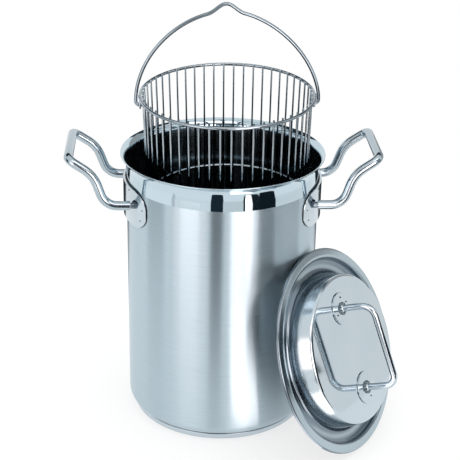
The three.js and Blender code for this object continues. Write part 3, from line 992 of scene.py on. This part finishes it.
def plate(name, sign):
    """A curved plate: two grids, and an edge in two strips, of which the lower is painted shade for the
    seam's gap.
    """
    rows = PLATE_ROWS + 1
    layer = (PLATE_COLUMNS + 1) * rows
    points = plate_points(sign)
    faces = plate_faces(rows, layer)
    around = plate_rim(rows)
    seam, count, grids = len(points), len(around), len(faces)
    for a in around:
        edge, foot = Vector(points[a]), Vector(points[a + layer])
        points.append(foot.lerp(edge, min(SEAM_WIDTH * MM / (edge - foot).length, SEAM_SHARE)))
    for i, (a, b) in enumerate(zip(around, around[1:] + around[:1])):
        after = (i + 1) % count
        faces.append((a, b, seam + after, seam + i))
        faces.append((seam + i, seam + after, b + layer, a + layer))
    made = link_mesh(name + "_handle_plate_curved", points, faces, PLATE)
    # The lower strip of the edge gets painted shade for the gap against the wall.
    made.data.materials.append(SEAM_SHADE_AND_SPOTS)
    for i in range(count):
        made.data.polygons[grids + 2 * i + 1].material_index = 1
    finish_mesh(made)
    bevel = made.modifiers.new("edge", "BEVEL")
    bevel.width = PLATE_EDGE * MM
    bevel.segments = PLATE_EDGE_STEPS
    bevel.limit_method = "ANGLE"
    dress(made, "pot", "polished_steel", name + "_handle_plate")


for side_name, side_sign in SIDES.items():
    plate(side_name, side_sign)

# %% [markdown]
# ## The basket
#
# Long hairpin wires stand all round, welded inside a top ring and a middle ring, with a grid near their
# feet. The hairpin is drawn once and the tree copies it round the axis. The whole basket leans a little,
# as it does when it is lifted out by hand.

# %% Basket
RING_RADIUS = 70.8
RING_WIRE = 2.6
UPRIGHT_WIRE = 1.6
UPRIGHT_PAIRS = 25
UPRIGHT_POKE = 1.8
BASKET_TAPER = 5.0
FOOT_FLAT = 0.2
BASKET_DEPTH = 212.0
MIDDLE_RING_DROP = 94.0
GRID_LIFT = 12.0
GRID_WIRE = 2.0
GRID_BAR_WIRE = 1.8
GRID_BARS = 8
BASKET_PLACE = Vector((2.8, -4.6, POT_HEIGHT + 51.0))
BASKET_LEAN = math.radians(3.5)
BASKET_ROLL = math.radians(-0.6)
UPRIGHT_RADIUS = RING_RADIUS - RING_WIRE / 2 - WELD_GAP - UPRIGHT_WIRE / 2
BASKET_TILT = Matrix.Rotation(BASKET_LEAN, 4, "X") @ Matrix.Rotation(BASKET_ROLL, 4, "Y")
BASKET = Matrix.Translation(BASKET_PLACE * MM) @ BASKET_TILT


def circle_path(radius, height):
    turns = [2 * math.pi * i / RING_STEPS for i in range(RING_STEPS)]
    return [(radius * math.cos(a), radius * math.sin(a), height) for a in turns]


def hoop(name, radius, height, wire):
    return rod(name, circle_path(radius, height), [0] * RING_STEPS, wire, HOOP, HOOP_SIDES, closed=True)


def placed(piece, body, slot, *nodes):
    piece.data.transform(BASKET)
    dress(piece, body, slot, *nodes)


def upright_reach(drop):
    """How far from the axis the uprights stand, at a depth below the top ring."""
    return UPRIGHT_RADIUS - BASKET_TAPER * drop / BASKET_DEPTH


def hairpins():
    pitch = math.pi / UPRIGHT_PAIRS
    foot = UPRIGHT_WIRE / 2 - BASKET_DEPTH
    corners = []
    for side, height in ((0.5, UPRIGHT_POKE), (0.5, foot), (1.5, foot), (1.5, UPRIGHT_POKE)):
        reach = upright_reach(-height)
        corners.append((reach * math.cos(side * pitch), reach * math.sin(side * pitch), height))
    bend = upright_reach(-foot) * math.sin(pitch / 2) - FOOT_FLAT / 2
    bends = [0, bend, bend, 0]
    name = "basket_hairpins"
    return rod(name, corners, bends, UPRIGHT_WIRE, WIRE, WIRE_SIDES, UPRIGHT_PAIRS, WIRE_BEND_STEPS)


def join(name, pieces):
    shape = bmesh.new()
    for piece in pieces:
        shape.from_mesh(piece.data)
    first = pieces[0]
    shape.to_mesh(first.data)
    shape.free()
    for piece in pieces[1:]:
        bpy.data.objects.remove(piece)
    first.name = name
    return first


def bottom_grid():
    height = GRID_LIFT - BASKET_DEPTH
    radius = upright_reach(-height) - UPRIGHT_WIRE / 2 - WELD_GAP - GRID_WIRE / 2
    parts = [hoop("grid_hoop", radius, height, GRID_WIRE)]
    for i in range(1, GRID_BARS + 1):
        x = radius * (2 * i / (GRID_BARS + 1) - 1)
        half = math.sqrt(radius**2 - x**2)
        ends = [(x, -half, height), (x, half, height)]
        parts.append(rod("grid_bar", ends, [0, 0], GRID_BAR_WIRE, WIRE, WIRE_SIDES))
    return join("basket_floor_wires", parts)


wire_nodes = [f"basket_wire_{i + 1:02d}" for i in range(UPRIGHT_PAIRS)]
placed(hairpins(), "basket", "wire_steel", *wire_nodes)
placed(hoop("basket_top_hoop", RING_RADIUS, 0, RING_WIRE), "basket", "wire_steel", "basket_top_ring")
middle_radius = RING_RADIUS - UPRIGHT_RADIUS + upright_reach(MIDDLE_RING_DROP)
middle_hoop = hoop("basket_middle_hoop", middle_radius, -MIDDLE_RING_DROP, RING_WIRE)
placed(middle_hoop, "basket", "wire_steel", "basket_middle_ring")
placed(bottom_grid(), "basket", "wire_steel", "basket_bottom_grid")

# %% [markdown]
# ## The bail
#
# The bail is one wire. Its arch is a superellipse, a little more pointed than a true ellipse, with a
# small hump in the middle for a hook or a finger. Its ends turn in through two wire eyes under the ring.
# A formula needs only a width, a height and one number for fullness, so it is easier to fit than a curve
# drawn by eye.

# %% Bail and eyes
BAIL_WIRE = 2.6
EYE_WIRE = 1.6
EYE_DROP = 8.1
EYE_STRETCH = 3.0
PIVOT_PLAY = 0.6
BAIL_HALF_SPAN = 74.2
BAIL_ARCH = 78.2
FULL_RIGHT, FULL_LEFT = 1.74, 1.86
HUMP_HEIGHT = 5.9
HUMP_HALF_WIDTH = 14.5
HUMP_SHIFT = -1.4
BAIL_DRAWN = 2.9
PIN_BEND = 3.2
PIN_REACH = 4.0
ARCH_STEPS = 120
EYE_RADIUS = BAIL_WIRE / 2 + PIVOT_PLAY + EYE_WIRE / 2
EYE_WELD = RING_WIRE / 2 + WELD_GAP + EYE_WIRE / 2
EYE_TOP = EYE_DROP - EYE_RADIUS - EYE_STRETCH
EYE_REACH = RING_RADIUS + math.sqrt(max(EYE_WELD**2 - EYE_TOP**2, 0))
EYE_STEPS = 32


def bail_height(x):
    """Years of lifting have pulled the left arm a little fuller and the hump a little left."""
    full = FULL_RIGHT if x > 0 else FULL_LEFT
    arch = (1 - (abs(x) / BAIL_HALF_SPAN) ** full) ** (1 / full)
    hump = (1 + math.cos(math.pi * min(abs(x - HUMP_SHIFT) / HUMP_HALF_WIDTH, 1))) / 2
    return PIN_BEND + (BAIL_ARCH - PIN_BEND) * arch + HUMP_HEIGHT * hump


def bail_path():
    pin = [(EYE_REACH - PIN_REACH, 0, 0)]
    for k in range(BEND_STEPS + 1):
        angle = math.pi / 2 * k / BEND_STEPS
        x = BAIL_HALF_SPAN - PIN_BEND + PIN_BEND * math.sin(angle)
        pin.append((x, 0, PIN_BEND * (1 - math.cos(angle))))
    xs = [BAIL_HALF_SPAN * math.cos(math.pi * k / ARCH_STEPS) for k in range(1, ARCH_STEPS)]
    return pin + [(x, 0, bail_height(x)) for x in xs] + [(-x, y, z) for x, y, z in pin[::-1]]


def bail():
    points = [(x, y, z - EYE_DROP) for x, y, z in bail_path()]
    return rod("bail_wire", points, [0] * len(points), BAIL_DRAWN, BAIL, HOOP_SIDES)


def eye(name, side):
    """A wire link: the pin turns in its lower bend, and its upper bend is welded under the ring."""
    points = []
    for i in range(EYE_STEPS):
        angle = 2 * math.pi * (i + 0.5) / EYE_STEPS
        up = EYE_RADIUS * math.sin(angle) + (EYE_STRETCH if angle < math.pi else 0)
        points.append((side * EYE_REACH, EYE_RADIUS * math.cos(angle), up - EYE_DROP))
    return rod(name, points, [0] * EYE_STEPS, EYE_WIRE, WIRE, WIRE_SIDES, closed=True)


placed(bail(), "bail", "wire_steel", "basket_bail")
placed(eye("eye_wire_right", 1), "basket", "wire_steel", "bail_eye_right")
placed(eye("eye_wire_left", -1), "basket", "wire_steel", "bail_eye_left")

# %% [markdown]
# ## The lid
#
# The lid is pressed from one sheet: a rolled lip, a flat flange that rests on the rim, a ring that drops
# into the mouth, a trough, and a raised drum. It is turned flat, as the pot is, and then moved to stand on
# its lip and lean on the wall. Its bends are softer than the frame's, as in pressed sheet.

# %% Lid shell
LID_RADIUS = 85.8
LID_SHEET = 0.8
LIP_DEPTH = 2.0
FLANGE_DROOP = 0.5
PLUG_RADIUS = 77.6
PLUG_DEPTH = 7.6
PLUG_TAPER = 0.8
DRUM_HEIGHT = 14.7
FRAME_BENDS = [2.2, 2.2, 2.2, 1.1, 1.1]
LID_BENDS = [2.4, 4.0, 4.5, 2.4, 1.7]
LID_LEAN = math.radians(22.2)
LID_TURN = math.radians(-34.5)
FACES_DOWN = -0.05


def lid_outline(bends):
    trough = LID_SHEET - PLUG_DEPTH
    corners = [
        (0, DRUM_HEIGHT),
        (DRUM_TOP, DRUM_HEIGHT),
        (DRUM_FOOT, trough),
        (PLUG_RADIUS - LID_SHEET, trough),
        (PLUG_RADIUS - LID_SHEET + PLUG_TAPER, 0),
        (LID_RADIUS, -FLANGE_DROOP),
        (LID_RADIUS, -FLANGE_DROOP - LIP_DEPTH),
    ]
    line = rounded(corners, bends)
    under = beside(line, LID_SHEET)
    under[0].x = 0
    return under + line[::-1]


def lid_place():
    rise, run = math.sin(LID_LEAN), math.cos(LID_LEAN)
    outline = lid_outline(FRAME_BENDS)
    height = max(p.x * run - p.y * rise for p in outline)
    reach = max(p.x * rise - p.y * run for p in outline)
    away = Vector((math.cos(LID_TURN), math.sin(LID_TURN), 0))
    across = Vector((-away.y, away.x, 0))
    outward = Vector((away.x * run, away.y * run, rise))
    upward = outward.cross(across)
    centre = away * (BODY_RADIUS + WELD_GAP + reach) + Vector((0, 0, height))
    turn = Matrix((across, upward, outward)).transposed().to_4x4()
    return Matrix.Translation(centre * MM) @ turn


LID = lid_place()
LID_UP = LID.to_3x3() @ Vector((0, 0, 1))


def faces_under(face):
    return face.normal.dot(LID_UP) < FACES_DOWN


lid_sheet = turned("lid_sheet", lid_outline(LID_BENDS), PRESSED_SHADED, LID)
# The underside gets painted shade.
paint(lid_sheet, UNDER_SHADED, faces_under)
dress(lid_sheet, "lid", "polished_steel", "lid_shell")

# %% [markdown]
# ## The lid's handle
#
# A lighter rod with two square bends is welded to two round plates, which are spot welded to the drum.
# Flat plates would mirror the same grey as the drum and vanish, so they are slightly domed.

# %% Lid handle
ROSETTE_RADIUS = 13.5
ROSETTE_THICKNESS = 1.2
ROSETTE_EDGE = 0.5
ROSETTE_DOME = 0.5
LID_ROD = 5.6
LID_SPREAD = 35.5
LID_GRIP_HEIGHT = 30.0
LID_GRIP_BEND = 10.0
LID_STUD_LENGTH = 1.8
LID_STUD_RADIUS = 2.4
LID_WELD_REACH = 5.0
ROSETTE_STEPS, STUD_STEPS = 64, 32
SMALL_BEND_STEPS = 4


def lid_grip():
    foot = DRUM_HEIGHT + ROSETTE_THICKNESS + LID_STUD_LENGTH + 3 * WELD_GAP
    top = DRUM_HEIGHT + LID_GRIP_HEIGHT
    corners = [(0, -LID_SPREAD, foot), (0, -LID_SPREAD, top), (0, LID_SPREAD, top), (0, LID_SPREAD, foot)]
    made = rod("lid_grip_rod", corners, [0, LID_GRIP_BEND, LID_GRIP_BEND, 0], LID_ROD, PLATE, HANDLE_SIDES)
    made.data.transform(LID)
    dress(made, "lid", "polished_steel", "lid_handle")


def rosette(end, side):
    """A slightly domed disc, and the weld that runs from the rod's end out over the disc."""
    low = DRUM_HEIGHT + WELD_GAP
    top = low + ROSETTE_THICKNESS
    shoulder = top - ROSETTE_DOME
    corners = [(0, low), (ROSETTE_RADIUS, low), (ROSETTE_RADIUS, shoulder), (0, top)]
    outline = rounded(corners, [ROSETTE_EDGE / 4, ROSETTE_EDGE / 2], SMALL_BEND_STEPS)
    place = LID @ Matrix.Translation((0, side * LID_SPREAD * MM, 0))
    made = turned("lid_rosette_disc_" + end, outline, POLISHED, place, ROSETTE_STEPS)
    dress(made, "lid", "polished_steel", "lid_rosette_" + end)
    low = top + WELD_GAP
    top = low + LID_STUD_LENGTH
    neck = (LID_STUD_RADIUS, top - LID_STUD_LENGTH / 3)
    corners = [(0, low), (LID_WELD_REACH, low), neck, (LID_STUD_RADIUS, top), (0, top)]
    bends = [ROSETTE_EDGE / 4, LID_WELD_REACH / 3, ROSETTE_EDGE / 2]
    outline = rounded(corners, bends, SMALL_BEND_STEPS)
    made = turned("lid_stud_" + end, outline, POLISHED, place, STUD_STEPS)
    dress(made, "lid", "polished_steel", "lid_handle_stud_" + end)


lid_grip()
rosette("upper", 1)
rosette("lower", -1)

# %% [markdown]
# ## Welds
#
# Short studs join the handle rods to their plates. The frame already has their shape, so they stay and
# get a dark weld colour: weld scale, with painted shade for the dark necks where rod meets plate. What the
# frame leaves out is the bead: a ring of small lumps where the metal ran. It could be sculpted, but at
# this size a second Geometry Nodes tree is enough. It puts a lump of random size on every point that it is
# given, and also makes the spot welds on the plates and discs.

# %% The bead tree
BEAD_SEED = 7
BEAD_DETAIL = 2
BEAD_SMALLEST = 0.55
FULL_SIZE = (1.0, 1.0, 1.0)


def bead_tree():
    sockets = {
        "Spots": "NodeSocketGeometry",
        "Radius": "NodeSocketFloat",
        "Smallest": "NodeSocketFloat",
        "Material": "NodeSocketMaterial",
    }
    tree = new_tree("weld beads", sockets)
    nodes = Nodes(tree)
    source = nodes.add("NodeGroupInput")
    inputs = {"Radius": source.also("Radius"), "Subdivisions": BEAD_DETAIL}
    ball = nodes.add("GeometryNodeMeshIcoSphere", inputs=inputs)
    small = nodes.add("ShaderNodeCombineXYZ", inputs={axis: source.also("Smallest") for axis in "XYZ"})
    inputs = {0: small, 1: FULL_SIZE, "Seed": BEAD_SEED}
    size = nodes.add("FunctionNodeRandomValue", {"data_type": "FLOAT_VECTOR"}, inputs)
    inputs = {"Points": source.also("Spots"), "Instance": ball, "Scale": size}
    copies = nodes.add("GeometryNodeInstanceOnPoints", inputs=inputs)
    end_tree(nodes, source, copies)
    return tree


BEAD_TREE = bead_tree()
print("bead tree:", len(BEAD_TREE.nodes), "nodes")


def beads(name, body, points, radius, material, place=Matrix.Identity(4)):
    """A lump on every point, in millimetres. The lumps ride on a body and stand for no node."""
    settings = {"Radius": radius * MM, "Smallest": BEAD_SMALLEST, "Material": material}
    made = grown(name, path_object(points, [0] * len(points)), BEAD_TREE, settings)
    made.data.transform(place)
    finish_mesh(made)
    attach(made, body)
    print(name, len(points), "lumps")


# %% Studs, beads and spot welds
BEAD_RING, BEAD_RADIUS, BEAD_COUNT = 2.1, 0.75, 11
LID_BEAD_RADIUS = 1.6
SPOT_RADIUS = 0.75
PLATE_SPOTS = [(46.3, 198.6), (44.0, 188.8), (28.0, 209.5)]
DISC_SPOTS = [(8.6, 2.6), (-8.6, -2.6), (2.4, 9.0)]


def bead_ring(centre, across, along, radius):
    """Points round a stud, in the plane of two directions."""
    points = []
    for i in range(BEAD_COUNT):
        angle = 2 * math.pi * i / BEAD_COUNT
        points.append(centre + (across * math.cos(angle) + along * math.sin(angle)) * radius)
    return points


def plate_welds(name, sign):
    rings, spots = [], []
    for end in (-1, 1):
        foot = Vector((sign * (plate_face(FOOT_SPREAD) + WELD_GAP), end * FOOT_SPREAD, FOOT_HEIGHT))
        tilt = math.asin(FOOT_SPREAD / PLATE_CURVE)
        across = Vector((-sign * math.sin(tilt), end * math.cos(tilt), 0))
        rings += bead_ring(foot, across, Vector((0, 0, 1)), BEAD_RING)
        spots += [(sign * plate_face(side), end * side, height) for side, height in PLATE_SPOTS]
    beads(name + "_plate_beads", "pot", rings, BEAD_RADIUS, WELD_SCALE_AND_SHADE)
    beads(name + "_plate_spots", "pot", spots, SPOT_RADIUS, SEAM_SHADE_AND_SPOTS)


def disc_welds():
    top = DRUM_HEIGHT + WELD_GAP + ROSETTE_THICKNESS - ROSETTE_DOME / 2
    spots = [(x, end * (LID_SPREAD + y), top) for end in (-1, 1) for x, y in DISC_SPOTS]
    beads("lid_disc_spots", "lid", spots, SPOT_RADIUS, SEAM_SHADE_AND_SPOTS, LID)
    rings = []
    for end in (-1, 1):
        foot = Vector((0, end * LID_SPREAD, top + ROSETTE_DOME))
        rings += bead_ring(foot, Vector((1, 0, 0)), Vector((0, 1, 0)), LID_WELD_REACH - BEAD_RADIUS)
    beads("lid_disc_beads", "lid", rings, LID_BEAD_RADIUS, WELD_SCALE_AND_SHADE, LID)


for side_name, side_sign in SIDES.items():
    plate_welds(side_name, side_sign)
    for end_name in ("front", "rear"):
        # The studs get weld scale and painted shade for their dark necks.
        refinish(f"{side_name}_handle_stud_{end_name}", WELD_SCALE_AND_SHADE)
disc_welds()

# %% [markdown]
# ## Size
#
# The finished model is meant to fill the same box as the frame. Both boxes are measured, and the
# finished one is printed.

# %% Finish
visual_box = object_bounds()
sizes = {"cad": [list(corner) for corner in cad_box], "visual": [list(corner) for corner in visual_box]}
print("size:", [[round(value, 4) for value in corner] for corner in sizes["visual"]])
